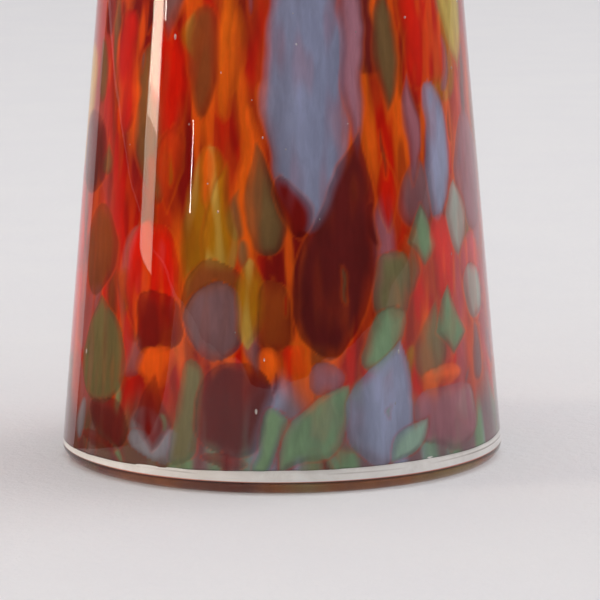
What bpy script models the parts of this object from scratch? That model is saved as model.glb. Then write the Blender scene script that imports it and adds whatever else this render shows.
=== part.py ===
"""Mezuzah case: a tapered hand-blown glass body with a metal neck collar,
a wall plate behind the collar, and a lift-out stopper that carries the
parchment scroll in its clear sleeve.

Frame: +Z up the case, -Y to the front, +Y to the wall.  The origin is the
centre of the flat underside of the glass.  Lengths are in metres.
"""

import math

import bmesh
import bpy
from mathutils import Matrix, Vector

MM = 0.001
GAP = 0.3 * MM                # clearance between touching pieces

# glass body
BASE_R = 20.0 * MM            # radius just above the rounded bottom edge
TAPER = 0.0888                # radius lost for each unit of height
EDGE_R = 1.1 * MM             # rounded bottom edge
SHOULDER_Z = 106.0 * MM       # top of the tapered wall
GLASS_H = 118.0 * MM
NECK_R = 9.8 * MM
BORE_R = 6.8 * MM
FLOOR_T = 6.0 * MM            # thick glass floor
WALL_LOW = 3.3 * MM
WALL_HIGH = 2.9 * MM
INNER_CORNER_R = 3.0 * MM

# collar on the ground neck
LINER_R0 = NECK_R + GAP
LINER_R1 = 10.6 * MM
COLLAR_R0 = LINER_R1 + GAP
COLLAR_R1 = 12.0 * MM
COLLAR_BEAD_R = 12.6 * MM
COLLAR_Z0 = 106.4 * MM
COLLAR_Z1 = 119.6 * MM
COLLAR_EYE_R = 7.2 * MM
LUG_W = 8.0 * MM
LUG_Z0 = 108.9 * MM
LUG_Z1 = 117.1 * MM

# wall plate, flush with the back of the glass base
WALL_Y = BASE_R
PLATE_T = 1.6 * MM
PLATE_HALF_W = 19.8 * MM
PLATE_HALF_H = 6.6 * MM
PLATE_Z = 113.0 * MM
WALL_HOLE_X = 15.6 * MM
WALL_HOLE_R = 1.7 * MM
WALL_SINK_R = 3.0 * MM
PLATE_SCREW_DZ = 2.2 * MM     # each side of the plate's middle
PLATE_SCREW_R = 0.95 * MM
PLATE_SCREW_HEAD_R = 1.9 * MM
PLATE_SCREW_L = 5.0 * MM

# stopper
KNOB_Z0 = COLLAR_Z1 + GAP
KNOB_H = 14.1 * MM
KNOB_FLANGE_R = 11.2 * MM
PLUG_R = BORE_R - 0.35 * MM
PLUG_Z0 = 108.8 * MM
STUD_R = 2.0 * MM
STUD_HEAD_R = 3.4 * MM
HOLDER_R = 6.1 * MM
HOLDER_Z0 = 98.4 * MM
HOLDER_DISC_T = 1.6 * MM

# scroll and its sleeve
SLEEVE_R = 5.2 * MM
SLEEVE_WALL = 0.6 * MM
SLEEVE_Z0 = 14.0 * MM
SLEEVE_Z1 = 104.4 * MM
SCROLL_R = 3.7 * MM
SCROLL_CORE_R = 1.4 * MM
SCROLL_Z0 = 15.4 * MM
SCROLL_Z1 = 101.4 * MM
BAND_Z0 = 56.0 * MM
BAND_Z1 = 62.0 * MM

for ob in list(bpy.data.objects):
    bpy.data.objects.remove(ob, do_unlink=True)

scene_root = bpy.context.scene.collection
PARTS = bpy.data.collections.new("mezuzah_case")
CUTTERS = bpy.data.collections.new("cutters")
scene_root.children.link(PARTS)
scene_root.children.link(CUTTERS)


def material(name, colour, roughness, metallic=0.0, transmission=0.0):
    mat = bpy.data.materials.new(name)
    mat.use_nodes = True
    bsdf = mat.node_tree.nodes["Principled BSDF"]
    bsdf.inputs["Base Color"].default_value = (*colour, 1.0)
    bsdf.inputs["Roughness"].default_value = roughness
    bsdf.inputs["Metallic"].default_value = metallic
    bsdf.inputs["Transmission Weight"].default_value = transmission
    return mat


def add(name, mesh, mat, collection=PARTS, sharp=35.0):
    ob = bpy.data.objects.new(name, mesh)
    collection.objects.link(ob)
    if mat is not None:
        mesh.materials.append(mat)
    if len(mesh.polygons):
        mesh.shade_smooth()
        mesh.set_sharp_from_angle(angle=math.radians(sharp))
    if collection is CUTTERS:
        ob.hide_render = True
        ob.display_type = "WIRE"
    return ob


def arc(cx, cz, r, a0, a1, n):
    """Points of an arc in the profile plane, angles in degrees."""
    pts = []
    for i in range(n + 1):
        a = math.radians(a0 + (a1 - a0) * i / n)
        pts.append((cx + r * math.cos(a), cz + r * math.sin(a)))
    return pts


def turned(name, profile, mat, steps, ring=False, collection=PARTS):
    """A profile of (radius, height) turned round +Z.  The outer side runs
    from top to bottom.  A ring's profile closes on itself; any other one
    starts and ends on the axis."""
    mesh = bpy.data.meshes.new(name)
    verts = [(r, 0.0, z) for r, z in profile]
    edges = [(i, i + 1) for i in range(len(verts) - 1)]
    if ring:
        edges.append((len(verts) - 1, 0))
    mesh.from_pydata(verts, edges, [])
    ob = add(name, mesh, mat, collection)
    screw = ob.modifiers.new("turn", "SCREW")
    screw.axis = "Z"
    screw.angle = math.tau
    screw.steps = steps
    screw.render_steps = steps
    screw.use_merge_vertices = True
    screw.merge_threshold = 0.00001
    screw.use_smooth_shade = True
    return ob


def cylinder(name, r, length, centre, axis, mat=None, r_top=None, steps=24,
             collection=CUTTERS):
    """A cylinder or cone along axis; r is at the low end, r_top at the high."""
    bm = bmesh.new()
    bmesh.ops.create_cone(bm, cap_ends=True, segments=steps, radius1=r,
                          radius2=r if r_top is None else r_top, depth=length)
    turn = Vector((0, 0, 1)).rotation_difference(Vector(axis)).to_matrix()
    bmesh.ops.transform(bm, matrix=turn.to_4x4(), verts=bm.verts)
    mesh = bpy.data.meshes.new(name)
    bm.to_mesh(mesh)
    bm.free()
    ob = add(name, mesh, mat, collection)
    ob.location = centre
    return ob


def block(name, size, centre, mat=None, collection=CUTTERS):
    bm = bmesh.new()
    bmesh.ops.create_cube(bm, size=1.0)
    bmesh.ops.transform(bm, matrix=Matrix.Diagonal((*size, 1.0)), verts=bm.verts)
    mesh = bpy.data.meshes.new(name)
    bm.to_mesh(mesh)
    bm.free()
    ob = add(name, mesh, mat, collection)
    ob.location = centre
    return ob


def boolean(ob, other, operation="DIFFERENCE"):
    mod = ob.modifiers.new(other.name, "BOOLEAN")
    mod.operation = operation
    mod.object = other
    mod.solver = "EXACT"
    return mod


def outer_r(z):
    """Outer radius of the tapered glass wall at height z."""
    return BASE_R - TAPER * (z - EDGE_R)


# ---------------------------------------------------------------- materials
glass_mat = material("cased_glass", (0.42, 0.10, 0.05), 0.05, 0.0, 0.3)
liner_mat = material("clear_silicone", (0.72, 0.72, 0.70), 0.45)
metal_mat = material("satin_pewter", (0.56, 0.55, 0.53), 0.32, 1.0)
screw_mat = material("bright_steel", (0.66, 0.66, 0.67), 0.22, 1.0)
plug_mat = material("grey_silicone", (0.20, 0.20, 0.21), 0.55)
holder_mat = material("white_nylon", (0.80, 0.79, 0.76), 0.40)
sleeve_mat = material("clear_acrylic", (0.85, 0.88, 0.88), 0.05, 0.0, 0.9)
scroll_mat = material("parchment", (0.70, 0.60, 0.44), 0.80)
band_mat = material("linen_tape", (0.62, 0.58, 0.52), 0.85)

# --------------------------------------------------------------- glass body
floor_r = outer_r(FLOOR_T) - WALL_LOW
inner = [(0.0, FLOOR_T)]
inner += arc(floor_r - INNER_CORNER_R, FLOOR_T + INNER_CORNER_R,
             INNER_CORNER_R, -90, -5.0, 5)
WALL_ROWS = 6
for i in range(1, WALL_ROWS + 1):
    t = i / WALL_ROWS
    z = FLOOR_T + INNER_CORNER_R + (SHOULDER_Z - 4.0 * MM - FLOOR_T
                                    - INNER_CORNER_R) * t
    inner.append((outer_r(z) - (WALL_LOW + (WALL_HIGH - WALL_LOW) * t), z))
inner += [(BORE_R + 0.25 * MM, SHOULDER_Z - 0.5 * MM),
          (BORE_R, SHOULDER_Z + 1.5 * MM)]
lip_r = 1.0 * MM
rim = [(BORE_R, GLASS_H - lip_r)]
rim += arc(BORE_R + lip_r, GLASS_H - lip_r, lip_r, 180, 90, 3)[1:]
rim += arc(NECK_R - lip_r, GLASS_H - lip_r, lip_r, 90, 0, 3)
outer = [(NECK_R, SHOULDER_Z + 1.6 * MM),
         (NECK_R + 0.25 * MM, SHOULDER_Z + 0.8 * MM),
         (outer_r(SHOULDER_Z) - 0.15 * MM, SHOULDER_Z + 0.25 * MM)]
for i in range(WALL_ROWS + 1):
    z = SHOULDER_Z + (EDGE_R - SHOULDER_Z) * i / WALL_ROWS
    outer.append((outer_r(z), z))
outer += arc(BASE_R - EDGE_R, EDGE_R, EDGE_R, 0, -90, 4)[1:]
outer.append((0.0, 0.0))
turned("glass_case", inner + rim + outer, glass_mat, 64)

# --------------------------------------------------------- collar and liner
turned("collar_liner",
       [(LINER_R0, 117.6 * MM), (LINER_R1, 117.6 * MM),
        (LINER_R1, 107.9 * MM), (LINER_R0, 107.9 * MM)],
       liner_mat, 48, ring=True)

collar = turned("neck_collar", [
    (COLLAR_EYE_R, COLLAR_Z1 - 0.3 * MM), (COLLAR_EYE_R + 0.3 * MM, COLLAR_Z1),
    (COLLAR_BEAD_R - 0.4 * MM, COLLAR_Z1), (COLLAR_BEAD_R, COLLAR_Z1 - 0.4 * MM),
    (COLLAR_BEAD_R, COLLAR_Z1 - 1.6 * MM), (COLLAR_R1, COLLAR_Z1 - 2.2 * MM),
    (COLLAR_R1, COLLAR_Z0 + 2.2 * MM), (COLLAR_BEAD_R, COLLAR_Z0 + 1.6 * MM),
    (COLLAR_BEAD_R, COLLAR_Z0 + 0.4 * MM), (COLLAR_BEAD_R - 0.4 * MM, COLLAR_Z0),
    (COLLAR_R0, COLLAR_Z0), (COLLAR_R0, GLASS_H + GAP),
    (COLLAR_EYE_R, GLASS_H + GAP)], metal_mat, 48, ring=True)
lug_y0, lug_y1 = 11.25 * MM, WALL_Y - PLATE_T - GAP
lug = block("lug_block", (LUG_W, lug_y1 - lug_y0, LUG_Z1 - LUG_Z0),
            (0.0, (lug_y0 + lug_y1) / 2, (LUG_Z0 + LUG_Z1) / 2))
boolean(collar, lug, "UNION")

# --------------------------------------------------------------- wall plate
outline = bpy.data.curves.new("plate_outline", "CURVE")
outline.dimensions = "2D"
outline.fill_mode = "BOTH"
outline.extrude = PLATE_T / 2
spline = outline.splines.new("POLY")
END_STEPS = 12
pts = []
for side in (1, -1):
    for i in range(END_STEPS + 1):
        a = math.radians(-90 + 180 * i / END_STEPS)
        pts.append((side * (PLATE_HALF_W - PLATE_HALF_H
                            + PLATE_HALF_H * math.cos(a)),
                    side * PLATE_HALF_H * math.sin(a)))
spline.points.add(len(pts) - 1)
for p, (x, y) in zip(spline.points, pts):
    p.co = (x, y, 0.0, 1.0)
spline.use_cyclic_u = True
guide = bpy.data.objects.new("plate_outline", outline)
CUTTERS.objects.link(guide)
bpy.context.view_layer.update()
flat = bpy.data.meshes.new_from_object(
    guide.evaluated_get(bpy.context.evaluated_depsgraph_get()))
bpy.data.objects.remove(guide, do_unlink=True)
bm = bmesh.new()
bm.from_mesh(flat)
bmesh.ops.remove_doubles(bm, verts=bm.verts, dist=0.000001)
stand = (Matrix.Translation((0.0, WALL_Y - PLATE_T / 2, PLATE_Z))
         @ Matrix.Rotation(math.radians(90), 4, "X"))
bmesh.ops.transform(bm, matrix=stand, verts=bm.verts)
bmesh.ops.recalc_face_normals(bm, faces=bm.faces)
bm.to_mesh(flat)
bm.free()
flat.name = "wall_plate"
plate = add("wall_plate", flat, metal_mat)

front_y = WALL_Y - PLATE_T
for side, tag in ((-1, "l"), (1, "r")):
    x = side * WALL_HOLE_X
    hole = cylinder("wall_hole_" + tag, WALL_HOLE_R, 3 * PLATE_T,
                    (x, WALL_Y - PLATE_T / 2, PLATE_Z), (0, 1, 0))
    sink_d = WALL_SINK_R - WALL_HOLE_R + 0.2 * MM
    sink = cylinder("wall_sink_" + tag, WALL_SINK_R + 0.2 * MM, sink_d + 0.2 * MM,
                    (x, front_y + sink_d / 2 - 0.1 * MM, PLATE_Z), (0, 1, 0),
                    r_top=WALL_HOLE_R)
    boolean(plate, hole)
    boolean(plate, sink)

# plate screws, driven from behind into the collar's lug
SCREW_HEAD_D = 1.1 * MM
for side, tag in ((-1, "low"), (1, "high")):
    z = PLATE_Z + side * PLATE_SCREW_DZ
    bore = cylinder("screw_bore_" + tag, PLATE_SCREW_R + GAP, 9.0 * MM,
                    (0.0, WALL_Y - 2.2 * MM, z), (0, 1, 0), steps=20)
    seat = cylinder("screw_seat_" + tag, PLATE_SCREW_R + GAP, SCREW_HEAD_D + 0.4 * MM,
                    (0.0, WALL_Y - SCREW_HEAD_D / 2 + 0.2 * MM, z), (0, 1, 0),
                    r_top=PLATE_SCREW_HEAD_R + GAP + 0.4 * MM, steps=20)
    boolean(plate, bore)
    boolean(plate, seat)
    boolean(collar, bore)
    screw = turned("plate_screw_" + tag, [
        (0.0, 0.0), (PLATE_SCREW_HEAD_R - 0.1 * MM, 0.0),
        (PLATE_SCREW_HEAD_R, -0.15 * MM), (PLATE_SCREW_R, -SCREW_HEAD_D),
        (PLATE_SCREW_R, -PLATE_SCREW_L), (PLATE_SCREW_R - 0.35 * MM,
                                          -PLATE_SCREW_L - 0.5 * MM),
        (0.0, -PLATE_SCREW_L - 0.5 * MM)], screw_mat, 20)
    screw.location = (0.0, WALL_Y - 0.15 * MM, z)
    screw.rotation_euler = (math.radians(-90), 0.0, 0.0)

# ------------------------------------------------------------------ stopper
stopper = bpy.data.objects.new("stopper_axis", None)
PARTS.objects.link(stopper)
stopper.location = (0.0, 0.0, KNOB_Z0)

k0 = KNOB_Z0
stud_hole_top = k0 + 7.1 * MM
knob = turned("stopper_knob", [
    (0.0, k0 + KNOB_H), (2.6 * MM, k0 + KNOB_H - 0.25 * MM),
    (5.0 * MM, k0 + KNOB_H - 1.1 * MM), (6.9 * MM, k0 + KNOB_H - 2.5 * MM),
    (8.0 * MM, k0 + KNOB_H - 4.3 * MM), (8.2 * MM, k0 + KNOB_H - 6.0 * MM),
    (7.4 * MM, k0 + KNOB_H - 7.8 * MM), (6.0 * MM, k0 + KNOB_H - 9.2 * MM),
    (5.3 * MM, k0 + KNOB_H - 10.2 * MM), (5.6 * MM, k0 + KNOB_H - 11.0 * MM),
    (7.0 * MM, k0 + 2.5 * MM), (KNOB_FLANGE_R - 0.5 * MM, k0 + 2.2 * MM),
    (KNOB_FLANGE_R, k0 + 1.7 * MM), (KNOB_FLANGE_R, k0 + 0.4 * MM),
    (KNOB_FLANGE_R - 0.4 * MM, k0), (STUD_R + GAP, k0),
    (STUD_R + GAP, stud_hole_top), (0.0, stud_hole_top)], metal_mat, 48)

plug_top = COLLAR_Z1
plug_profile = [(STUD_R + GAP, plug_top), (PLUG_R - 0.3 * MM, plug_top),
                (PLUG_R, plug_top - 0.6 * MM)]
RIBS = 3
rib_pitch = (plug_top - 0.6 * MM - PLUG_Z0 - 0.6 * MM) / RIBS
for i in range(RIBS):
    top = plug_top - 0.6 * MM - rib_pitch * i
    plug_profile += [(PLUG_R, top - 0.62 * rib_pitch),
                     (PLUG_R - 0.55 * MM, top - 0.74 * rib_pitch),
                     (PLUG_R - 0.55 * MM, top - 0.88 * rib_pitch),
                     (PLUG_R, top - rib_pitch)]
plug_profile += [(PLUG_R - 0.5 * MM, PLUG_Z0), (STUD_R + GAP, PLUG_Z0)]
plug = turned("stopper_plug", plug_profile, plug_mat, 40, ring=True)

holder_z1 = PLUG_Z0 - GAP
disc_z0 = holder_z1 - HOLDER_DISC_T
holder = turned("scroll_holder", [
    (STUD_R + GAP, holder_z1), (HOLDER_R - 0.4 * MM, holder_z1),
    (HOLDER_R, holder_z1 - 0.4 * MM), (HOLDER_R, HOLDER_Z0 + 0.2 * MM),
    (HOLDER_R - 0.2 * MM, HOLDER_Z0), (SLEEVE_R + GAP + 0.15 * MM, HOLDER_Z0),
    (SLEEVE_R + GAP, HOLDER_Z0 + 0.4 * MM), (SLEEVE_R + GAP, disc_z0),
    (STUD_R + GAP, disc_z0)], holder_mat, 40, ring=True)

head_z1 = disc_z0 - GAP
stud = turned("stopper_stud", [
    (0.0, stud_hole_top - GAP), (STUD_R - 0.3 * MM, stud_hole_top - GAP),
    (STUD_R, stud_hole_top - 0.6 * MM), (STUD_R, head_z1),
    (STUD_HEAD_R, head_z1), (STUD_HEAD_R, head_z1 - 1.0 * MM),
    (STUD_HEAD_R - 0.4 * MM, head_z1 - 1.4 * MM), (0.0, head_z1 - 1.4 * MM)],
    screw_mat, 32)

# --------------------------------------------------------- sleeve and scroll
scroll_axis = bpy.data.objects.new("scroll_axis", None)
PARTS.objects.link(scroll_axis)
scroll_axis.parent = stopper
scroll_axis.location = (0.0, 0.0, SLEEVE_Z1 - KNOB_Z0)

SLEEVE_R0 = SLEEVE_R - SLEEVE_WALL
sleeve_profile = [(0.0, SLEEVE_Z0 + 0.9 * MM), (SLEEVE_R0 - 0.6 * MM, SLEEVE_Z0 + 0.9 * MM),
                  (SLEEVE_R0, SLEEVE_Z0 + 1.5 * MM), (SLEEVE_R0, SLEEVE_Z1),
                  (SLEEVE_R, SLEEVE_Z1)]
sleeve_profile += arc(SLEEVE_R - 1.2 * MM, SLEEVE_Z0 + 1.2 * MM, 1.2 * MM, 0, -90, 4)
sleeve_profile += [(0.0, SLEEVE_Z0)]
sleeve = turned("scroll_sleeve", sleeve_profile, sleeve_mat, 40)

scroll = turned("scroll", [
    (SCROLL_CORE_R, SCROLL_Z1), (SCROLL_R, SCROLL_Z1),
    (SCROLL_R, SCROLL_Z0), (SCROLL_CORE_R, SCROLL_Z0)], scroll_mat, 32, ring=True)

band = turned("scroll_band", [
    (SCROLL_R + GAP, BAND_Z1), (SCROLL_R + 2 * GAP, BAND_Z1),
    (SCROLL_R + 2 * GAP, BAND_Z0), (SCROLL_R + GAP, BAND_Z0)],
    band_mat, 32, ring=True)

# moving pieces hang on their axis empties and keep their place
bpy.context.view_layer.update()
for ob, axis in ((knob, stopper), (plug, stopper), (holder, stopper),
                 (stud, stopper), (sleeve, scroll_axis), (scroll, scroll_axis),
                 (band, scroll_axis)):
    ob.parent = axis
    ob.matrix_parent_inverse = axis.matrix_world.inverted()
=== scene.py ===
"""Looks for the mezuzah case: blown glass with cased colour chips, turned
pewter fittings, silicone, acrylic and parchment.  Metres, +Z up, -Y front."""

import math

import bmesh
import bpy
import numpy as np
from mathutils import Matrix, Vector


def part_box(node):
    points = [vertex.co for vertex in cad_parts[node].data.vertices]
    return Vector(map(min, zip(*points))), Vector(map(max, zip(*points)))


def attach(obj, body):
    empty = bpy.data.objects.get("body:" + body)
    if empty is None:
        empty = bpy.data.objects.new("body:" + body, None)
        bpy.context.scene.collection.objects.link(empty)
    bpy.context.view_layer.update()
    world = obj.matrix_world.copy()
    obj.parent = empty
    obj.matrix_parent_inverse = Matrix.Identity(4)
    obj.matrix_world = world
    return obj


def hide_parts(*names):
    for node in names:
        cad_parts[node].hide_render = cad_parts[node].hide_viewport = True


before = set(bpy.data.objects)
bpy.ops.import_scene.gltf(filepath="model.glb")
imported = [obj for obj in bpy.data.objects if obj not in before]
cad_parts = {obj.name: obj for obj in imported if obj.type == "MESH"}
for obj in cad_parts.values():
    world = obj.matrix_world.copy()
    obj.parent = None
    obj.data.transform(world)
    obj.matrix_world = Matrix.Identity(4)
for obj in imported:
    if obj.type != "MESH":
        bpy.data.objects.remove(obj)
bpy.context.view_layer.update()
MM = 0.001
scene = bpy.context.scene
scene.view_settings.view_transform = "Standard"
scene.view_settings.look = "None"

# ------------------------------------------------------------- dimensions
lo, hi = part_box("glass_case")
BASE_R = (hi[0] - lo[0]) / 2 / MM            # mm, radius above the rounded edge
GLASS_H = (hi[2] - lo[2]) / MM
TAPER = 0.0888
EDGE_R = 1.1
SHOULDER_Z = 106.0
NECK_R, BORE_R = 9.8, 6.8
FLOOR_T = 6.0


def outer_r(z):
    return BASE_R - TAPER * (z - EDGE_R)


# -------------------------------------------------------------- utilities
def lin(r, g, b):
    """Display colour 0-255 to linear."""
    out = []
    for c in (r, g, b):
        c = c / 255.0
        out.append(c / 12.92 if c <= 0.04045 else ((c + 0.055) / 1.055) ** 2.4)
    return tuple(out)


class Nodes:
    """A small helper for building node materials."""

    def __init__(self, name):
        self.mat = bpy.data.materials.new(name)
        self.mat.use_nodes = True
        self.nt = self.mat.node_tree
        self.nt.nodes.clear()
        self.out = self.nt.nodes.new("ShaderNodeOutputMaterial")

    def node(self, kind, **props):
        n = self.nt.nodes.new(kind)
        for k, v in props.items():
            setattr(n, k, v)
        return n

    def link(self, a, b):
        self.nt.links.new(a, b)

    def value(self, n, **inputs):
        for k, v in inputs.items():
            n.inputs[k.replace("_", " ")].default_value = v
        return n

    def principled(self, **inputs):
        n = self.node("ShaderNodeBsdfPrincipled")
        for k, v in inputs.items():
            n.inputs[k.replace("_", " ")].default_value = v
        return n

    def coords(self, scale=(1, 1, 1)):
        tc = self.node("ShaderNodeTexCoord")
        mp = self.node("ShaderNodeMapping")
        mp.inputs["Scale"].default_value = scale
        self.link(tc.outputs["Object"], mp.inputs["Vector"])
        return mp.outputs["Vector"]

    def noise(self, vector, scale, detail=4.0, rough=0.55, distortion=0.0):
        n = self.node("ShaderNodeTexNoise")
        n.inputs["Scale"].default_value = scale
        n.inputs["Detail"].default_value = detail
        n.inputs["Roughness"].default_value = rough
        n.inputs["Distortion"].default_value = distortion
        self.link(vector, n.inputs["Vector"])
        return n.outputs["Fac"]

    def ramp(self, fac, stops, interpolation="LINEAR"):
        n = self.node("ShaderNodeValToRGB")
        n.color_ramp.interpolation = interpolation
        els = n.color_ramp.elements
        while len(els) < len(stops):
            els.new(0.5)
        for e, (pos, col) in zip(els, stops):
            e.position = pos
            e.color = (*col, 1.0) if len(col) == 3 else col
        self.link(fac, n.inputs["Fac"])
        return n.outputs["Color"]

    def maprange(self, v, a, b, c, d):
        n = self.node("ShaderNodeMapRange")
        for i, x in zip((1, 2, 3, 4), (a, b, c, d)):
            n.inputs[i].default_value = x
        self.link(v, n.inputs[0])
        return n.outputs[0]

    def mix(self, fac, a, b, blend="MIX"):
        n = self.node("ShaderNodeMix", data_type="RGBA", blend_type=blend)
        for sock, v in ((n.inputs[0], fac), (n.inputs[6], a), (n.inputs[7], b)):
            if isinstance(v, bpy.types.NodeSocket):
                self.link(v, sock)
            elif isinstance(v, tuple):
                sock.default_value = (*v, 1.0) if len(v) == 3 else v
            else:
                sock.default_value = v
        return n.outputs[2]

    def math(self, op, a, b=0.0, clamp=False):
        n = self.node("ShaderNodeMath", operation=op, use_clamp=clamp)
        for sock, v in ((n.inputs[0], a), (n.inputs[1], b)):
            if isinstance(v, bpy.types.NodeSocket):
                self.link(v, sock)
            else:
                sock.default_value = v
        return n.outputs[0]

    def bump(self, height, strength, distance, normal=None):
        n = self.node("ShaderNodeBump")
        n.inputs["Strength"].default_value = strength
        n.inputs["Distance"].default_value = distance
        self.link(height, n.inputs["Height"])
        if normal is not None:
            self.link(normal, n.inputs["Normal"])
        return n.outputs["Normal"]

    def done(self, shader):
        self.link(shader, self.out.inputs["Surface"])
        return self.mat


def new_object(name, verts, faces, mat=None, smooth=True, sharp=None):
    """verts in mm."""
    mesh = bpy.data.meshes.new(name)
    mesh.from_pydata([tuple(c * MM for c in v) for v in verts], [], faces)
    mesh.update()
    ob = bpy.data.objects.new(name, mesh)
    scene.collection.objects.link(ob)
    if mat is not None:
        mesh.materials.append(mat)
    if smooth:
        mesh.shade_smooth()
        if sharp is not None:
            mesh.set_sharp_from_angle(angle=math.radians(sharp))
    return ob


def arc(cx, cz, r, a0, a1, n):
    return [(cx + r * math.cos(math.radians(a0 + (a1 - a0) * i / n)),
             cz + r * math.sin(math.radians(a0 + (a1 - a0) * i / n)))
            for i in range(n + 1)]


def resample(profile, step):
    """Adds points so that no stretch of a (r, z) profile is longer than step."""
    out = [profile[0]]
    for (r0, z0), (r1, z1) in zip(profile[:-1], profile[1:]):
        n = max(1, math.ceil(math.hypot(r1 - r0, z1 - z0) / step))
        out += [(r0 + (r1 - r0) * i / n, z0 + (z1 - z0) * i / n)
                for i in range(1, n + 1)]
    return out


def revolve(name, profile, steps, mat=None, ring=False, wobble=None, sharp=None):
    """Turns a (r, z) profile in mm round +Z; outer side runs top to bottom."""
    verts, rows = [], []
    for r, z in profile:
        if r < 1e-6:
            rows.append([len(verts)])
            verts.append((0.0, 0.0, z))
        else:
            rows.append(list(range(len(verts), len(verts) + steps)))
            for k in range(steps):
                a = math.tau * k / steps
                rr, zz = (r, z) if wobble is None else wobble(r, z, a)
                verts.append((rr * math.cos(a), rr * math.sin(a), zz))
    faces = []
    pairs = list(zip(rows[:-1], rows[1:]))
    if ring:
        pairs.append((rows[-1], rows[0]))
    for a, b in pairs:
        for k in range(steps):
            j = (k + 1) % steps
            f = [a[k % len(a)], b[k % len(b)], b[j % len(b)], a[j % len(a)]]
            f = list(dict.fromkeys(f))
            if len(f) > 2:
                faces.append(f)
    return new_object(name, verts, faces, mat, sharp=sharp)


# ------------------------------------------------------------------ camera
ELEV, ROLL = math.radians(9.06), math.radians(-0.20)
TARGET = Vector((1.675 * MM, 0.0, 13.87 * MM))
DIST = 333.3 * MM
back = Vector((0.0, -math.cos(ELEV), math.sin(ELEV)))
right = Vector((1.0, 0.0, 0.0))
up = back.cross(right)
r2 = math.cos(ROLL) * right + math.sin(ROLL) * up
u2 = -math.sin(ROLL) * right + math.cos(ROLL) * up
cam_data = bpy.data.cameras.new("camera")
cam_data.lens = 220.1
cam_data.sensor_width = 36.0
cam_data.clip_start = 0.01
cam_data.clip_end = 20.0
camera = bpy.data.objects.new("camera", cam_data)
scene.collection.objects.link(camera)
m = camera.matrix_world.copy()
pos = TARGET + back * DIST
for i in range(3):
    m[i][0], m[i][1], m[i][2], m[i][3] = r2[i], u2[i], back[i], pos[i]
camera.matrix_world = m
scene.camera = camera

# ----------------------------------------------------------- clear casing
def clear_glass(name, rough=0.0, tint=(1.0, 1.0, 1.0), bump=True):
    n = Nodes(name)
    p = n.principled(Base_Color=(*tint, 1.0), Roughness=rough, IOR=1.42)
    p.inputs["Transmission Weight"].default_value = 1.0
    if bump:
        v = n.coords((1.0, 1.0, 0.35))
        ripple = n.noise(v, 160.0, 2.0, 0.5)
        n.link(n.bump(ripple, 0.12, 0.0004), p.inputs["Normal"])
    t = n.node("ShaderNodeBsdfTransparent")
    t.inputs["Color"].default_value = (0.94, 0.94, 0.94, 1.0)
    lp = n.node("ShaderNodeLightPath")
    mx = n.node("ShaderNodeMixShader")
    n.link(lp.outputs["Is Shadow Ray"], mx.inputs[0])
    n.link(p.outputs[0], mx.inputs[1])
    n.link(t.outputs[0], mx.inputs[2])
    return n.done(mx.outputs[0])


CASING = clear_glass("clear_casing_glass")

inner_corner = 3.0
floor_r = outer_r(FLOOR_T) - 3.3
prof = [(0.0, FLOOR_T)]
prof += arc(floor_r - inner_corner, FLOOR_T + inner_corner, inner_corner, -90, -5, 10)
for i in range(1, 25):
    t = i / 24
    z = FLOOR_T + inner_corner + (SHOULDER_Z - 4.0 - FLOOR_T - inner_corner) * t
    prof.append((outer_r(z) - (3.3 + (2.9 - 3.3) * t), z))
prof += [(BORE_R + 0.25, SHOULDER_Z - 0.5), (BORE_R, SHOULDER_Z + 1.5),
         (BORE_R, GLASS_H - 1.0)]
prof += arc(BORE_R + 1.0, GLASS_H - 1.0, 1.0, 180, 90, 6)[1:]
prof += arc(NECK_R - 1.0, GLASS_H - 1.0, 1.0, 90, 0, 6)
prof += [(NECK_R, SHOULDER_Z + 1.6), (NECK_R + 0.25, SHOULDER_Z + 0.8),
         (outer_r(SHOULDER_Z) - 0.15, SHOULDER_Z + 0.25)]
for i in range(41):
    z = SHOULDER_Z + (EDGE_R - SHOULDER_Z) * i / 40
    prof.append((outer_r(z), z))
prof += arc(BASE_R - EDGE_R, EDGE_R, EDGE_R, 0, -90, 10)[1:]
prof.append((0.0, 0.0))
casing = revolve("glass_clear_casing", prof, 192, CASING)
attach(casing, "case")

# ------------------------------------------------------------ colour layer
LAYER_D = 1.0              # depth of the colour under the clear surface, mm
LAYER_T = 1.1              # its thickness
LAYER_Z0 = 1.9             # its lower edge, above the clear foot
LAYER_Z1 = 104.8
rng = np.random.default_rng(18)

# Glass rods and frit: display colour, and how brightly it glows: painted light standing in for light shining through
# it.
GLASS = {
    "scarlet": ((184, 22, 2), 0.42), "brick": ((170, 52, 14), 0.22),
    "oxblood": ((114, 16, 10), 0.05), "maroon": ((98, 28, 26), 0.0),
    "umber": ((128, 66, 30), 0.05), "chestnut": ((140, 60, 18), 0.10),
    "tangerine": ((208, 84, 14), 0.50), "amber": ((196, 88, 12), 0.40),
    "old_gold": ((158, 106, 12), 0.25), "straw": ((184, 162, 80), 0.15),
    "olive": ((112, 108, 74), 0.0), "moss": ((112, 88, 54), 0.0),
    "sea": ((110, 140, 104), 0.0), "mint": ((134, 162, 144), 0.0),
    "slate": ((136, 142, 168), 0.0), "dusk": ((118, 88, 92), 0.0),
    "dusty_pink": ((166, 116, 130), 0.0), "mauve": ((150, 94, 104), 0.0),
    "rose": ((184, 66, 72), 0.15), "sage": ((154, 160, 150), 0.0),
    "lavender": ((176, 172, 182), 0.0),
}
WARM = {"scarlet", "brick", "tangerine", "amber", "old_gold", "chestnut", "rose"}

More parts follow.
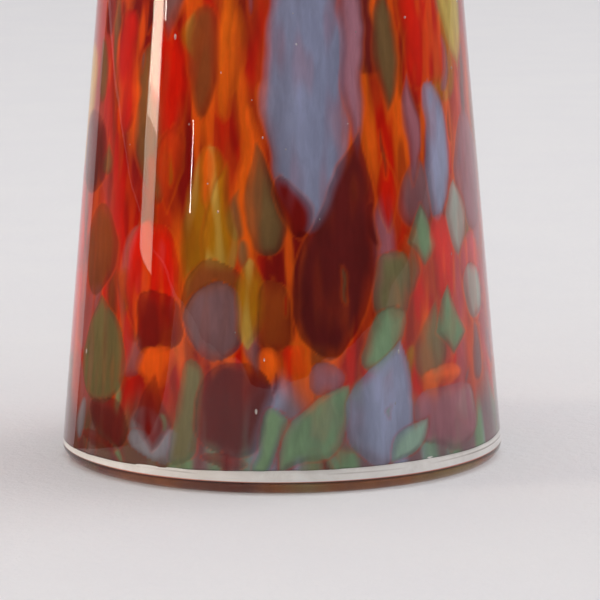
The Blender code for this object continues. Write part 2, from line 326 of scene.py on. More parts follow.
# Main chips on the front, in front elevation: shape, glass, across, up, half
# width, half length (mm), tilt (degrees, top to the right), bend (mm).
MAIN = [
    ("oval", "scarlet", -9.5, 35.0, 1.2, 6.0, 0, 0.0),
    ("strip", "scarlet", -13.0, 35.5, 0.8, 5.5, 0, 0.0),
    ("fall", "dusk", -9.0, 43.0, 1.3, 4.0, 0, 0.0),
    ("oval", "umber", -6.5, 37.0, 1.5, 5.0, 0, 0.0),
    ("strip", "amber", -4.5, 38.5, 0.7, 6.5, 0, 0.0),
    ("oval", "slate", 2.3, 35.0, 3.6, 12.5, 0, 0.0),
    ("fall", "dusty_pink", 6.2, 36.5, 1.1, 8.0, 0, 0.0),
    ("leaf", "moss", 9.0, 38.0, 0.9, 5.5, 0, 0.0),
    ("block", "scarlet", 12.0, 39.5, 1.6, 5.5, -5, 0.0),
    ("fall", "straw", 14.5, 40.0, 0.9, 5.0, -4, 0.0),
    ("leaf", "mauve", 11.0, 31.0, 0.6, 5.0, 0, 0.0),
    ("oval", "slate", 13.0, 28.5, 1.1, 6.0, 0, 0.5),
    ("oval", "mauve", 16.0, 26.5, 0.9, 5.0, 0, 0.0),
    ("oval", "maroon", -16.0, 28.0, 0.9, 4.0, 0, 0.0),
    ("fall", "brick", -9.5, 27.5, 1.2, 3.5, 0, 0.0),
    ("drop", "old_gold", -5.0, 23.0, 1.5, 5.0, 0, 0.0),
    ("drop", "moss", -1.5, 25.0, 1.5, 5.0, -8, 0.0),
    ("drop", "maroon", 5.2, 21.5, 3.3, 10.0, 10, 0.0),
    ("oval", "oxblood", 1.0, 24.5, 1.2, 2.5, -15, 0.0),
    ("leaf", "scarlet", 9.0, 25.5, 0.9, 3.0, 0, 0.0),
    ("kite", "sea", 12.0, 21.5, 1.3, 2.5, 0, 0.0),
    ("block", "scarlet", 14.0, 19.0, 1.0, 4.0, 0, 0.0),
    ("leaf", "sage", 15.0, 22.5, 0.7, 3.5, 0, 0.0),
    ("oval", "rose", 16.5, 17.0, 0.8, 4.5, 0, 0.0),
    ("block", "scarlet", -11.0, 18.0, 2.2, 5.0, 0, 0.0),
    ("drop", "olive", -15.5, 11.0, 1.9, 4.5, 0, 0.0),
    ("oval", "umber", -15.5, 19.5, 1.4, 4.0, 0, 0.0),
    ("oval", "maroon", -15.0, 5.0, 1.8, 2.0, 20, 0.0),
    ("block", "oxblood", -10.5, 14.0, 2.0, 2.5, 0, 0.0),
    ("block", "tangerine", -11.0, 10.5, 1.4, 1.8, 20, 0.0),
    ("oval", "slate", -10.5, 4.0, 2.8, 1.6, 0, 0.0),
    ("strip", "olive", -8.0, 6.5, 1.2, 4.4, 6, 0.0),
    ("kite", "oxblood", -11.0, 6.5, 1.6, 3.0, 0, 0.0),
    ("oval", "umber", -5.5, 16.0, 3.1, 3.7, 0, 0.0),
    ("oval", "dusk", -5.7, 14.5, 2.7, 3.3, 0, 0.0),
    ("leaf", "old_gold", -2.5, 16.5, 1.4, 3.8, 0, 0.0),
    ("block", "chestnut", -0.5, 15.5, 1.4, 3.0, 0, 0.0),
    ("oval", "tangerine", -1.0, 11.0, 0.9, 1.8, 0, 0.0),
    ("block", "scarlet", 1.0, 11.5, 1.0, 1.6, 0, 0.0),
    ("oval", "mauve", 4.0, 10.0, 1.8, 1.4, 0, 0.0),
    ("oval", "maroon", -4.0, 7.2, 3.4, 4.2, 20, 0.0),
    ("oval", "oxblood", -5.0, 2.7, 1.8, 0.6, 0, 0.0),
    ("oval", "oxblood", -16.0, 2.9, 1.6, 0.6, 0, 0.0),
    ("leaf", "sea", 3.0, 5.5, 2.3, 5.0, 42, 0.0),
    ("strip", "sea", -1.0, 4.5, 0.8, 3.0, 25, 0.0),
    ("block", "olive", 9.5, 17.5, 1.4, 3.0, 0, 0.0),
    ("block", "sea", 9.0, 13.0, 1.4, 3.0, 22, 0.0),
    ("drop", "slate", 9.0, 7.5, 2.9, 5.5, 18, 0.0),
    ("kite", "sea", 14.5, 13.5, 1.3, 3.0, 0, 0.0),
    ("oval", "tangerine", 14.0, 9.0, 1.5, 0.8, 0, 0.0),
    ("oval", "sage", 16.5, 15.5, 0.7, 2.3, 0, 0.0),
    ("block", "mauve", 14.5, 5.5, 2.6, 2.6, 0, 0.0),
    ("leaf", "mint", 11.0, 4.0, 1.0, 2.8, 48, 0.0),
]

# Glass used by the small chips, by part of the case.
MIX_LOW = ["sea", "slate", "maroon", "dusk", "olive", "mint", "mauve", "oxblood"]
MIX_SIDE = ["dusty_pink", "mauve", "rose", "sage", "brick", "dusk", "scarlet"]
MIX_BODY = ["scarlet", "brick", "amber", "tangerine", "oxblood", "maroon", "umber",
            "chestnut", "dusk", "moss", "olive", "old_gold", "mauve", "scarlet", "brick"]

PROFILES = {        # half width along the chip, t from -1 (low) to 1 (top)
    "oval": lambda t: np.sqrt(1 - t * t),
    "leaf": lambda t: 1 - t * t,
    "drop": lambda t: np.sqrt(1 + t) * (1 - t) * 0.919,
    "fall": lambda t: np.sqrt(1 - t) * (1 + t) * 0.919,
    "kite": lambda t: np.minimum((1 + t) / 0.8, (1 - t) / 1.2),
    "strip": lambda t: (1 - t ** 8) ** 0.5,
    "block": lambda t: (1 - t ** 4) ** 0.4,
}


def smooth01(x):
    x = np.clip(x, 0.0, 1.0)
    return x * x * (3 - 2 * x)


def waves(x, y, z, size, seed, count=14):
    """Smooth seeded noise, about -1 to 1, without a seam round the case."""
    g = np.random.default_rng(seed)
    k = g.normal(size=(count, 3))
    k *= (math.tau / size / np.linalg.norm(k, axis=1) * g.uniform(0.6, 1.6, count))[:, None]
    ph = g.uniform(0, math.tau, count)
    s = sum(np.sin(k[i, 0] * x + k[i, 1] * y + k[i, 2] * z + ph[i]) for i in range(count))
    return s / math.sqrt(count) * 0.8


front = np.arange(-72.0, 72.0, 0.54)
rear = np.arange(72.0, 288.0, 1.44)
AZ = np.radians(np.concatenate([front, rear]))      # 0 = front, + to the right
low = np.linspace(LAYER_Z0, 30.0, 162)
middle = np.linspace(30.0, 52.0, 74)[1:]
high = np.linspace(52.0, LAYER_Z1 - 0.5, 104)[1:]
wall_z = np.concatenate([low, middle, high])


def layer_r(z):
    return BASE_R - TAPER * (z - EDGE_R) - LAYER_D


# Rows of the closed cup: dish under the floor, outer wall, top rim, inner wall.
rows = [(r, 3.3 - 0.9 * (r / 18.0) ** 4) for r in np.linspace(1.0, 18.0, 16)]
first_wall = len(rows)
rows += [(layer_r(z), z) for z in wall_z]
last_wall = len(rows)
rt = layer_r(LAYER_Z1)
rows += [(rt - 0.25, LAYER_Z1), (rt - LAYER_T + 0.2, LAYER_Z1)]
rows += [(layer_r(z) - LAYER_T, z) for z in np.linspace(LAYER_Z1 - 0.6, 5.2, 34)]
rows += [(r, 4.5) for r in np.linspace(16.6, 1.0, 9)]
prof_r = np.array([r for r, _ in rows])[:, None]
prof_z = np.array([z for _, z in rows])[:, None]
A = np.broadcast_to(AZ[None, :], (len(rows), len(AZ)))
R0 = np.broadcast_to(prof_r, A.shape)
Z0 = np.broadcast_to(prof_z, A.shape)
# the lower edge wanders a little, as a hand-gathered layer does
edge = 0.12 * (1 + waves(20 * np.sin(A), 20 * np.cos(A), 0 * A, 26.0, 5))
edge = edge - 0.65 * np.maximum(0.0, -np.sin(A))
Z = Z0 + edge * np.exp(-np.maximum(Z0 - LAYER_Z0, 0) / 2.0) * (R0 > 17.0)
X, Y = R0 * np.sin(A), -R0 * np.cos(A)

# molten ground between the chips, drawn out along the case
zs = Z * 0.24
n1 = waves(X, Y, zs, 9.0, 11)
n2 = waves(X, Y, zs, 4.2, 12)
n3 = waves(X, Y, zs * 0.8, 1.9, 13)


def tone(name):
    return np.array(lin(*GLASS[name][0]))


def blend(a, b, f):
    return a + (b - a) * f[..., None]


one = np.ones(A.shape + (1,))
n4 = waves(X, Y, Z * 0.12, 1.5, 14)
body = blend(one * tone("scarlet"), one * tone("oxblood"), smooth01(n1 * 1.2 + 0.35))
body = blend(body, one * tone("brick"), 0.8 * smooth01(n3 + 0.4))
body = blend(body, one * tone("amber"), 0.8 * smooth01(n2 * 1.4 - 0.35))
body = blend(body, one * tone("tangerine"), 0.8 * smooth01(n4 * 1.3 + n2 - 0.5))
body = blend(body, one * tone("oxblood"), 0.55 * smooth01(-n4 * 1.2 - 0.1))
foot = blend(one * tone("sea"), one * tone("slate"), smooth01(n1 + 0.5))
foot = blend(foot, one * tone("dusk"), smooth01(n2 * 1.3 + 0.2))
foot = blend(foot, one * tone("maroon"), 0.8 * smooth01((-6.0 - X) / 6.0 + 0.4 * n3) * (Y < 0))
side = blend(one * tone("mauve"), one * tone("brick"), smooth01(n2 + 0.3))
col = blend(body, side, 0.75 * smooth01((np.abs(X) - 13.0) / 4.0))
col = blend(col, foot, smooth01((9.0 - Z + 2.0 * n1) / 4.0))
# painted light: the body glows above the foot, more in patches
painted_glow = 0.30 * smooth01((Z - 7.0) / 5.0) * (0.5 + 0.5 * smooth01(n2 + 0.5))
relief = 0.05 * n2

wx = 0.34 * waves(X, Y, Z, 7.0, 21) + 0.05 * waves(X, Y, Z, 2.6, 22)
wz = 0.45 * waves(X, Y, Z, 6.0, 23)
streak = waves(X, Y, Z * 0.16, 3.0, 24)


def lay_chip(shape, glass, a0, z0, w, l, tilt=0.0, bend=0.0, soft=0.26, cover=1.0):
    """Lays one chip of glass over what is there."""
    global col, painted_glow, relief
    da = (A - a0 + math.pi) % math.tau - math.pi
    reach = (w + l) * 1.3 + 1.0
    near = (np.abs(da * R0) < reach) & (np.abs(Z - z0) < reach)
    near[:first_wall] = near[last_wall:] = False
    if not near.any():
        return
    dx = da[near] * R0[near] + wx[near]
    dz = Z[near] - z0 + wz[near]
    c, s = math.cos(math.radians(tilt)), math.sin(math.radians(tilt))
    x, y = c * dx - s * dz, s * dx + c * dz
    t = np.clip(y / l, -1, 1)
    x = x - bend * (1 - t * t)
    inside = np.minimum(PROFILES[shape](t) * w - np.abs(x), (l - np.abs(y)) * 0.8)
    m = smooth01(inside / soft + 0.5) * cover
    seam = smooth01((inside + 0.32) / 0.25) * (1 - smooth01(inside / soft + 0.5)) * cover
    base = tone(glass)
    # streaks along the chip, and painted shade: lighter towards the chip's top, darker at its rim
    shade = 1.0 + 0.12 * t + 0.09 * streak[near] - 0.22 * (1 - smooth01(inside / 0.6))
    seam_tone = tone("amber") if glass in WARM else tone("brick" if z0 < 9 else "tangerine")
    patch = blend(col[near], seam_tone * np.ones_like(col[near]), 0.46 * seam * (0.5 + 0.5 * smooth01(n2[near] + 0.5)))
    under = patch * 1.0
    fill = base[None, :] * np.maximum(shade, 0.5)[:, None]
    # a chip is thin at its rim and in places, where the glass under it shows
    thin = 0.42 * (1 - smooth01(inside / min(1.1, 0.7 * w))) + 0.22 * smooth01(n3[near] + 0.1)
    fill = blend(fill, under, np.clip(thin, 0, 0.6))
    if glass in WARM:
        hot = tone("tangerine") if glass != "old_gold" else tone("straw")
        fill = blend(fill, hot * np.ones_like(fill),
                     0.45 * smooth01(n4[near] * 1.1 + n2[near] * 0.5 - 0.1))
    else:
        # painted light: a cool chip gets a lighter core, rounding it with the darker rim
        fill = blend(fill, np.minimum(base * 1.35, 0.9) * np.ones_like(fill),
                     0.45 * smooth01(inside / (0.9 * w)) * smooth01(n1[near] + 0.6))
    patch = blend(patch, fill, m)
    col[near] = patch
    # painted light: how brightly the chip's glass glows
    painted_glow[near] = painted_glow[near] * (1 - m) + GLASS[glass][1] * m
    relief[near] = relief[near] * (1 - m) + 0.16 * smooth01(inside / 0.6) * m


def scatter(seed, step_a, step_z, w_rng, l_rng, z_rng, keep, soft, cover):
    """Small chips on a shaken grid, mixed by where they lie."""
    g = np.random.default_rng(seed)
    todo = []
    for zc in np.arange(z_rng[0], z_rng[1], step_z):
        count = max(6, int(math.tau * layer_r(zc) / step_a))
        for k in range(count):
            a0 = math.tau * (k + g.uniform(-0.45, 0.45)) / count
            z0 = zc + g.uniform(-0.5, 0.5) * step_z
            pick = g.random()
            across = abs(math.sin(a0)) * layer_r(z0)
            names = (MIX_LOW if z0 < 8 else
                     MIX_SIDE if across > 14.5 and pick < 0.6 else MIX_BODY)
            glass = names[g.integers(len(names))]
            shape = ("leaf", "drop", "fall", "oval", "strip")[g.integers(5)]
            w, l = g.uniform(*w_rng), g.uniform(*l_rng)
            if z0 < 8:
                l = min(l, 2.2)
            tilt = g.normal() * (7 if z0 > 10 else 28)
            bend = g.normal() * 0.25
            if g.random() < keep:
                todo.append((shape, glass, a0, z0, w, l, tilt, bend))
    for i in g.permutation(len(todo)):
        lay_chip(*todo[i], soft=soft, cover=cover)


scatter(31, 4.0, 8.0, (0.9, 2.4), (3.0, 7.5), (2.5, 104.0), 0.60, 0.55, 0.85)
scatter(32, 2.8, 5.0, (0.35, 1.1), (1.4, 4.2), (2.5, 104.0), 0.42, 0.40, 0.85)
# large chips behind and above, where no main chip lies
MIX_LARGE = ["slate", "slate", "maroon", "maroon", "scarlet", "scarlet", "oxblood",
             "moss", "umber", "dusk", "dusty_pink", "mauve", "old_gold", "straw",
             "sea", "sage", "olive", "chestnut"]
g = np.random.default_rng(52)
large = []
for zc in list(np.arange(14.0, 104.0, 7.5)) + [4.0]:
    count = max(6, int(math.tau * layer_r(zc) / 7.0))
    for k in range(count):
        a0 = math.tau * (k + g.uniform(-0.4, 0.4)) / count
        z0 = zc + g.uniform(-3.0, 3.0) * (zc > 10)
        w, l = g.uniform(1.0, 2.5), g.uniform(3.2, 7.5)
        shape = ("oval", "drop", "fall", "leaf", "block")[g.integers(5)]
        glass = MIX_LARGE[g.integers(len(MIX_LARGE))]
        tilt = g.normal() * 6
        if zc < 10:
            l, tilt = g.uniform(1.6, 3.4), g.normal() * 28
            glass = MIX_LOW[g.integers(len(MIX_LOW))]
        if z0 < 47 and math.cos(a0) > 0.15:
            continue
        large.append((shape, glass, a0, z0, w, l, tilt, g.normal() * 0.3))
for i in g.permutation(len(large)):
    lay_chip(*large[i], soft=0.36, cover=0.95)
for shape, glass, across, up_z, w, l, tilt, bend in MAIN:
    a0 = math.asin(max(-0.97, min(0.97, across / layer_r(up_z))))
    lay_chip(shape, glass, a0, up_z, w / math.cos(a0), l, tilt, bend,
             soft=0.15 + 0.017 * max(0.0, up_z - 14.0))
scatter(33, 9.0, 9.0, (0.10, 0.26), (0.6, 1.8), (9.0, 104.0), 0.5, 0.2, 0.6)

# painted shade: the left front is darkened and warmed, more so near the foot
painted_shade_left = smooth01((-6.0 - X) / 5.0) * (Y < 0)
painted_shade_low = smooth01((22.0 - Z) / 9.0)
col = col * (1.0 - painted_shade_left[..., None] * np.stack([0.13 * painted_shade_low, 0.20 + 0.06 * painted_shade_low,
                                                0.36 + 0.06 * painted_shade_low], -1))

R = R0 + np.clip(relief, -0.05, 0.25)
verts = np.stack([R * np.sin(A), -R * np.cos(A), Z], -1).reshape(-1, 3)
na, nr = len(AZ), len(rows)
idx = np.arange(na * nr).reshape(nr, na)
nxt = np.roll(idx, -1, axis=1)
faces = np.stack([idx[:-1], nxt[:-1], nxt[1:], idx[1:]], -1).reshape(-1, 4).tolist()
pole0, pole1 = na * nr, na * nr + 1
verts = verts.tolist() + [(0.0, 0.0, 3.3), (0.0, 0.0, 4.5)]
for k in range(na):
    j = (k + 1) % na
    faces.append((pole0, idx[0, j], idx[0, k]))
    faces.append((pole1, idx[-1, k], idx[-1, j]))
layer = new_object("glass_colour_layer", verts, [tuple(map(int, f)) for f in faces])

flat = np.clip(col.reshape(-1, 3) * 1.22, 0, 0.92)
flat = np.vstack([flat, flat[:1], flat[-1:]])
painted_glow_flat = np.append(painted_glow.reshape(-1), [0.0, 0.0])[:, None]
for name, rgb in (("glass_tone", flat), ("glass_painted_glow", flat * painted_glow_flat)):
    att = layer.data.color_attributes.new(name, "FLOAT_COLOR", "POINT")
    att.data.foreach_set("color", np.hstack([rgb, np.ones((len(rgb), 1))])
                         .astype(np.float32).ravel())

n = Nodes("colour_chips")
v = n.coords((1.0, 1.0, 0.22))
fine = n.noise(v, 1400.0, 4.0, 0.6, 0.4)
cloud = n.noise(v, 420.0, 3.0, 0.5)
att = n.node("ShaderNodeAttribute", attribute_name="glass_tone")
painted_glow_att = n.node("ShaderNodeAttribute", attribute_name="glass_painted_glow")
var = n.math("MULTIPLY", n.maprange(fine, 0.25, 0.75, 0.86, 1.14),
             n.maprange(cloud, 0.25, 0.75, 0.88, 1.12))
tint = n.node("ShaderNodeCombineColor")
for i in range(3):
    n.link(var, tint.inputs[i])
# painted light: the glowing attribute is emitted, standing in for light shining through the glass
p = n.principled(Roughness=0.55)
p.inputs["Specular IOR Level"].default_value = 0.0
p.inputs["Emission Strength"].default_value = 0.45
n.link(n.mix(1.0, att.outputs["Color"], tint.outputs[0], "MULTIPLY"), p.inputs["Base Color"])
n.link(n.mix(1.0, painted_glow_att.outputs["Color"], tint.outputs[0], "MULTIPLY"), p.inputs["Emission Color"])
n.link(n.bump(cloud, 0.25, 0.0003), p.inputs["Normal"])
layer.data.materials.append(n.done(p.outputs[0]))
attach(layer, "case")

# --------------------------------------------------- seeds: small air bubbles
g = np.random.default_rng(77)
bv, bf = [], []
for _ in range(110):
    a, z, depth = g.uniform(0, math.tau), g.uniform(4.0, 102.0), g.uniform(0.32, 0.55)
    rad = 0.05 + 0.09 * g.random() ** 2
    tall = rad * g.uniform(1.0, 2.4)
    rc = outer_r(z) - depth
    cx, cy = rc * math.sin(a), -rc * math.cos(a)
    start, seg, rings = len(bv), 10, 7
    bv.append((cx, cy, z + tall))
    for i in range(1, rings):
        th = math.pi * i / rings
        for k in range(seg):
            ph = math.tau * k / seg
            bv.append((cx + rad * math.sin(th) * math.cos(ph),
                       cy + rad * math.sin(th) * math.sin(ph), z + tall * math.cos(th)))
    bv.append((cx, cy, z - tall))
    for k in range(seg):
        j = (k + 1) % seg
        bf.append((start, start + 1 + k, start + 1 + j))
        for i in range(rings - 2):
            q = start + 1 + i * seg
            bf.append((q + k, q + seg + k, q + seg + j, q + j))
        q = start + 1 + (rings - 2) * seg
        bf.append((q + k, len(bv) - 1, q + j))
n = Nodes("bubble_air")
tiny = n.noise(n.coords(), 3000.0, 2.0)
# painted highlight: about a third of each bubble's surface is diffuse white, so it shows as a bright speck
p = n.principled(IOR=0.667, Base_Color=(1, 1, 1, 1))
p.inputs["Transmission Weight"].default_value = 0.65
n.link(n.maprange(tiny, 0.3, 0.7, 0.0, 0.04), p.inputs["Roughness"])
bubbles = new_object("glass_seed_bubbles", bv, bf, n.done(p.outputs[0]))
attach(bubbles, "case")

# ------------------------------------------------- foot: milk and tint rings
def ring_profile(r_in, r_out, z0, z1, n=5):
    """Closed rounded section, outer side first, top to bottom."""
    e = 0.12
    return (arc(r_out - e, z1 - e, e, 90, 0, n) + arc(r_out - e, z0 + e, e, 0, -90, n)
            + arc(r_in + e, z0 + e, e, 270, 180, n) + arc(r_in + e, z1 - e, e, 180, 90, n))


n = Nodes("milk_glass")
v = n.coords()
cl = n.noise(v, 210.0, 5.0, 0.65, 0.8)
p = n.principled(Roughness=0.7)
p.inputs["Specular IOR Level"].default_value = 0.0
# painted light: the milk ring glows faintly, though no lamp is in it
p.inputs["Emission Color"].default_value = (*lin(240, 234, 224), 1.0)
p.inputs["Emission Strength"].default_value = 0.12
milk_base = n.ramp(cl, [(0.3, lin(222, 217, 213)), (0.7, lin(250, 248, 246))])
# a thin grey flow line that wanders in the milk glass, and a red one under it with painted light and shade: bright
# orange in lit patches, dark red elsewhere
sep = n.node("ShaderNodeSeparateXYZ")
n.link(v, sep.inputs[0])
drift = n.noise(n.coords((1.0, 1.0, 0.0)), 42.0, 1.5, 0.5)
height = n.math("SUBTRACT", sep.outputs["Z"], n.maprange(drift, 0.3, 0.7, 0.00125, 0.00175))
line = n.maprange(n.math("ABSOLUTE", height), 0.00002, 0.00009, 1.0, 0.0)
patchy = n.maprange(n.noise(n.coords((1.0, 1.0, 0.0)), 70.0, 2.0, 0.6), 0.46, 0.60, 0.0, 0.75)
milk_base = n.mix(n.math("MULTIPLY", line, patchy), milk_base, lin(122, 104, 96))
low_edge = n.maprange(sep.outputs["Z"], 0.00097, 0.00104, 1.0, 0.0)
# painted light and shade on the red line: lit patches bright orange, the rest dark red
lit = n.maprange(n.noise(n.coords((1.0, 1.0, 0.0)), 30.0, 2.0, 0.5), 0.42, 0.55, 0.0, 1.0)
milk_base = n.mix(low_edge, milk_base, n.mix(lit, lin(110, 40, 30), lin(214, 84, 40)))
n.link(milk_base, p.inputs["Base Color"])
n.link(n.bump(cl, 0.2, 0.0003), p.inputs["Normal"])
milk = revolve("glass_foot_milk_ring", ring_profile(13.0, 18.88, 0.92, 2.20), 256,
               n.done(p.outputs[0]), ring=True,
               wobble=lambda r, z, a: (r + 0.015 * math.sin(5 * a) + 0.01 * math.sin(13 * a),
                                       z + (0.02 * math.sin(4 * a + 1) if z < 1.5 else
                                            0.13 * max(0.0, math.cos(a))
                                            - 0.62 * max(0.0, -math.cos(a)))))
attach(milk, "case")

n = Nodes("foot_tint_glass")
v = n.coords((1.0, 1.0, 1.0))
cl = n.noise(v, 46.0, 3.0, 0.5)
fine = n.noise(v, 900.0, 3.0, 0.5)
p = n.principled(Roughness=0.6)
p.inputs["Specular IOR Level"].default_value = 0.0
base = n.ramp(cl, [(0.34, lin(112, 104, 64)), (0.42, lin(104, 50, 40)),
                   (0.49, lin(122, 76, 60)), (0.55, lin(150, 92, 52)),
                   (0.60, lin(142, 116, 76)), (0.68, lin(158, 148, 122))])
n.link(n.mix(n.maprange(fine, 0.3, 0.7, 0.0, 0.3), base, lin(70, 34, 28)), p.inputs["Base Color"])
n.link(n.bump(fine, 0.2, 0.0002), p.inputs["Normal"])
tintring = revolve("glass_foot_tint_ring", ring_profile(13.0, 18.9, 0.12, 0.84), 256,
                   n.done(p.outputs[0]), ring=True)
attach(tintring, "case")
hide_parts("glass_case")

# --------------------------------------------------------------- fittings
def dress(material, *nodes):
    """Gives carried-over CAD nodes a finished material."""
    for node in nodes:
        ob = bpy.data.objects[node]
        if not ob.material_slots:
            ob.data.materials.append(material)
        for slot in ob.material_slots:
            slot.material = material


def metal(name, dark, light, r0, r1, lathe=0.0, grain=700.0, stretch=(1, 1, 1)):
    n = Nodes(name)
    v = n.coords(stretch)
    cloud = n.noise(v, 120.0, 4.0, 0.55)
    fine = n.noise(v, grain, 5.0, 0.65)
    p = n.principled(Metallic=1.0)
    n.link(n.ramp(cloud, [(0.3, dark), (0.7, light)]), p.inputs["Base Color"])
    n.link(n.maprange(fine, 0.3, 0.7, r0, r1), p.inputs["Roughness"])
    normal = n.bump(fine, 0.18, 0.00008)
    if lathe:
        w = n.node("ShaderNodeTexWave", bands_direction="Z")
        w.inputs["Scale"].default_value = lathe
        w.inputs["Distortion"].default_value = 0.3
        n.link(n.coords(), w.inputs["Vector"])
        normal = n.bump(w.outputs["Fac"], 0.10, 0.00003, normal)
    n.link(normal, p.inputs["Normal"])
    return n.done(p.outputs[0])


def rubber(name, dark, light, rough, transmission=0.0):
    n = Nodes(name)
    v = n.coords()
    cloud = n.noise(v, 200.0, 4.0, 0.55)
    fine = n.noise(v, 2200.0, 3.0, 0.6)
    p = n.principled(Roughness=rough, IOR=1.42)
    p.inputs["Transmission Weight"].default_value = transmission
    n.link(n.ramp(cloud, [(0.3, dark), (0.7, light)]), p.inputs["Base Color"])
    n.link(n.bump(fine, 0.15, 0.00005), p.inputs["Normal"])
    return n.done(p.outputs[0])


def paper(name, dark, light, scale, weave=False):
    n = Nodes(name)
    v = n.coords((1.0, 1.0, 0.5))
    cloud = n.noise(v, scale, 5.0, 0.6)
    fibre = n.noise(v, 2600.0, 5.0, 0.7, 0.6)
    p = n.principled(Roughness=0.82)
    p.inputs["Specular IOR Level"].default_value = 0.25
    base = n.ramp(cloud, [(0.28, dark), (0.72, light)])
    n.link(n.mix(n.maprange(fibre, 0.45, 0.75, 0.0, 0.22), base, dark), p.inputs["Base Color"])
    normal = n.bump(fibre, 0.35, 0.00008)
    if weave:
        w = n.node("ShaderNodeTexWave", bands_direction="Z")
        w.inputs["Scale"].default_value = 900.0
        n.link(n.coords(), w.inputs["Vector"])
        normal = n.bump(w.outputs["Fac"], 0.5, 0.00012, normal)
    n.link(normal, p.inputs["Normal"])
    return n.done(p.outputs[0])


PEWTER = metal("satin_pewter_turned", lin(150, 147, 142), lin(188, 186, 181), 0.26, 0.42, 260.0)
PLATE = metal("satin_pewter_brushed", lin(148, 145, 140), lin(182, 180, 176), 0.30, 0.46,
              grain=900.0, stretch=(0.08, 1, 1))
STEEL = metal("bright_steel_screw", lin(176, 176, 178), lin(212, 212, 214), 0.16, 0.30)
dress(PEWTER, "neck_collar")


def smooth_curve(points, per=8):
    """A smooth (r, z) curve through the design's own points."""
    P = [points[0]] + list(points) + [points[-1]]
    out = []
    for a, b, c, d in zip(P, P[1:], P[2:], P[3:]):
        for i in range(per):
            t = i / per
            out.append(tuple(0.5 * (2 * q + (w - q0) * t
                                    + (2 * q0 - 5 * q + 4 * w - w2) * t * t
                                    + (3 * q - q0 - 3 * w + w2) * t ** 3)
                             for q0, q, w, w2 in zip(a, b, c, d)))
    return out + [points[-1]]


klo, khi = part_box("stopper_knob")
k0, k1 = klo[2] / MM, khi[2] / MM
flange = (khi[0] - klo[0]) / 2 / MM
knob_prof = smooth_curve([(0.0, k1), (2.6, k1 - 0.25), (5.0, k1 - 1.1), (6.9, k1 - 2.5),
                          (8.0, k1 - 4.3), (8.2, k1 - 6.0), (7.4, k1 - 7.8), (6.0, k1 - 9.2),
                          (5.3, k1 - 10.2), (5.6, k1 - 11.0), (7.0, k0 + 2.55)])
knob_prof += [(7.4, k0 + 2.46), (7.6, k0 + 2.30), (7.8, k0 + 2.30), (8.0, k0 + 2.42)]
knob_prof += arc(flange - 0.6, k0 + 1.7, 0.6, 80, 0, 6)
knob_prof += arc(flange - 0.35, k0 + 0.35, 0.35, 0, -90, 5)
knob_prof += [(2.3, k0), (2.3, k0 + 7.1), (0.0, k0 + 7.1)]
knob = revolve("knob_turned", knob_prof, 160, PEWTER, sharp=50)
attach(knob, "stopper")
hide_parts("stopper_knob")
dress(PLATE, "wall_plate")
dress(STEEL, "plate_screw_low", "plate_screw_high", "stopper_stud")
dress(rubber("grey_silicone_plug", lin(128, 130, 132), lin(150, 152, 153), 0.5), "stopper_plug")
dress(rubber("clear_silicone_liner", lin(226, 228, 226), lin(240, 241, 239), 0.35, 0.6),
      "collar_liner")
dress(rubber("white_nylon_holder", lin(222, 220, 212), lin(238, 236, 230), 0.45), "scroll_holder")
dress(rubber("clear_acrylic_sleeve", lin(244, 246, 246), lin(252, 253, 253), 0.04, 1.0),
      "scroll_sleeve")
dress(paper("linen_tape_weave", lin(186, 170, 140), lin(214, 200, 172), 500.0, True),
      "scroll_band")

# the scroll: one skin of parchment rolled on itself
slo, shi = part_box("scroll")
S_OUT, S_IN = (shi[0] - slo[0]) / 2 / MM, 1.4
SZ0, SZ1 = slo[2] / MM, shi[2] / MM
SKIN, PITCH = 0.13, 0.31
turns = (S_OUT - SKIN - S_IN) / PITCH
steps = int(turns * (80))
heights = np.linspace(SZ0, SZ1, 12)
sv, sf = [], []
for side in (0, 1):
    for k in range(steps + 1):
        t = k / steps
        ang = math.tau * turns * t
        rr = S_IN + PITCH * turns * t + (SKIN if side else 0.0)
        rr += 0.015 * math.sin(5 * ang + 1.0)
        for z in heights:
            sv.append((rr * math.cos(ang), rr * math.sin(ang), float(z)))
nh, half = len(heights), (steps + 1) * len(heights)
for k in range(steps):
    for h in range(nh - 1):
        a, b = k * nh + h, (k + 1) * nh + h
        sf.append((a, a + 1, b + 1, b))
        sf.append((half + a, half + b, half + b + 1, half + a + 1))
    a, b = k * nh, (k + 1) * nh
    sf.append((a, b, half + b, half + a))
    a, b = a + nh - 1, b + nh - 1
    sf.append((a, half + a, half + b, b))
for h in range(nh - 1):
    a = h
    sf.append((a, half + a, half + a + 1, a + 1))
    a = steps * nh + h
    sf.append((a, a + 1, half + a + 1, half + a))
scroll_roll = new_object("scroll_roll", sv, sf,
                         paper("parchment_skin", lin(204, 184, 142), lin(232, 218, 184), 160.0),
                         sharp=40)
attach(scroll_roll, "scroll_set")
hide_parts("scroll")

# ---------------------------------------------------------- floor and light
n = Nodes("pale_cloth_floor")
v = n.coords()
fuzz = n.noise(v, 900.0, 5.0, 0.7)
soft = n.noise(v, 60.0, 3.0, 0.5)
col = n.mix(n.maprange(soft, 0.3, 0.7, 0.0, 1.0), lin(229, 228, 231), lin(231, 230, 232))
p = n.principled(Roughness=0.95)
p.inputs["Specular IOR Level"].default_value = 0.1
n.link(col, p.inputs["Base Color"])
n.link(n.bump(fuzz, 0.35, 0.0006), p.inputs["Normal"])
floor_mat = n.done(p.outputs[0])
fl = new_object("studio_floor", [(-3000, -3000, -0.05), (3000, -3000, -0.05),
                                 (3000, 3000, -0.05), (-3000, 3000, -0.05)],
                [(0, 1, 2, 3)], floor_mat, smooth=False)

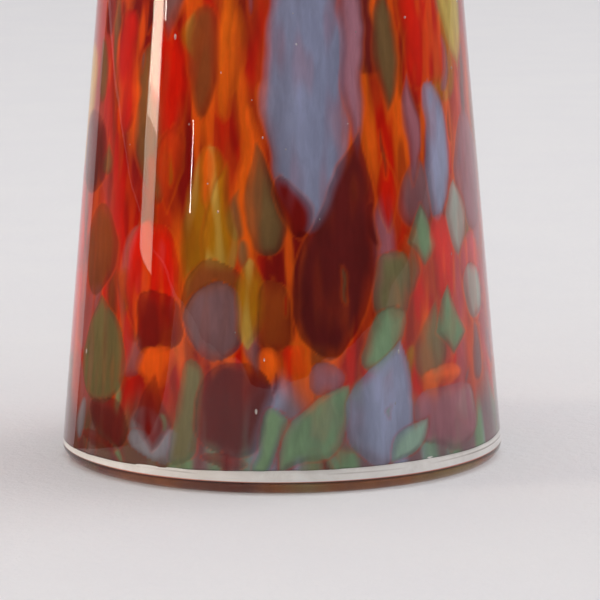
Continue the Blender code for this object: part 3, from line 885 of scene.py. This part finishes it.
# a grey card on the floor at the left, seen only in reflections, as a
# photographer lays one to keep the bright floor out of a glossy side
n = Nodes("grey_reflection_card")
felt = n.noise(n.coords(), 500.0, 3.0, 0.6)
p = n.principled(Roughness=1.0)
p.inputs["Specular IOR Level"].default_value = 0.0
n.link(n.ramp(felt, [(0.3, lin(112, 104, 98)), (0.7, lin(120, 112, 106))]), p.inputs["Base Color"])
fan = [(2600 * math.cos(math.radians(a)), 2600 * math.sin(math.radians(a)), -0.03)
       for a in range(132, 211, 6)]
card = new_object("reflection_card", [(-24.0, 0.0, -0.03)] + fan,
                  [tuple(range(len(fan) + 1))], n.done(p.outputs[0]), smooth=False)
card.visible_camera = card.visible_diffuse = card.visible_shadow = False
card.visible_transmission = card.visible_volume_scatter = False

world = bpy.data.worlds.new("studio")
scene.world = world
world.use_nodes = True
bg = world.node_tree.nodes["Background"]
bg.inputs["Color"].default_value = (1.0, 0.985, 0.99, 1.0)
wt = world.node_tree
w_dir = wt.nodes.new("ShaderNodeTexCoord")
w_sep = wt.nodes.new("ShaderNodeSeparateXYZ")
wt.links.new(w_dir.outputs["Generated"], w_sep.inputs[0])
w_up = wt.nodes.new("ShaderNodeMapRange")
for sock, val in zip((1, 2, 3, 4), (0.05, 0.55, 0.08, 0.60)):
    w_up.inputs[sock].default_value = val
wt.links.new(w_sep.outputs["Z"], w_up.inputs[0])
w_back = wt.nodes.new("ShaderNodeMapRange")
for sock, val in zip((1, 2, 3, 4), (-0.3, 0.5, 0.0, 0.22)):
    w_back.inputs[sock].default_value = val
wt.links.new(w_sep.outputs["Y"], w_back.inputs[0])
w_sum = wt.nodes.new("ShaderNodeMath")
w_sum.operation = "ADD"
wt.links.new(w_up.outputs[0], w_sum.inputs[0])
wt.links.new(w_back.outputs[0], w_sum.inputs[1])
wt.links.new(w_sum.outputs[0], bg.inputs["Strength"])


def area(name, centre, aim, size_x, size_y, power, colour=(1, 1, 1), spread=180.0):
    data = bpy.data.lights.new(name, "AREA")
    data.spread = math.radians(spread)
    data.shape = "RECTANGLE"
    data.size, data.size_y = size_x, size_y
    data.energy = power
    data.color = colour
    ob = bpy.data.objects.new(name, data)
    scene.collection.objects.link(ob)
    ob.location = centre
    ob.rotation_euler = (Vector(aim) - Vector(centre)).to_track_quat("-Z", "Y").to_euler()
    return ob


area("key_window", (-0.893, -0.145, 0.295), (0, 0, 0.10), 0.15, 0.60, 0.63, (1.0, 0.84, 0.66), 110.0)
# a brighter pane of the same window, in two overlapping steps
area("window_pane_a", (-0.886, -0.1439, 0.080), (0, 0, 0.035), 0.12, 0.056, 0.052,
     (1.0, 0.85, 0.68), 110.0)
area("window_pane_b", (-0.884, -0.1436, 0.085), (0, 0, 0.035), 0.12, 0.046, 0.043,
     (1.0, 0.85, 0.68), 110.0)
area("window_edge", (-0.869, -0.233, 0.29), (0, 0, 0.12), 0.015, 0.40, 0.19, (1.0, 0.93, 0.80), 110.0)
area("glint", (-0.71, -0.554, 0.060), (0, 0, 0.03), 0.008, 0.030, 0.03, (1.0, 0.92, 0.75))
area("fill_top", (0.1, -0.35, 1.4), (0, 0, 0.04), 1.3, 1.3, 4.0)
area("fill_right", (0.9, 0.2, 1.0), (0, 0, 0.04), 0.9, 0.9, 4.0)
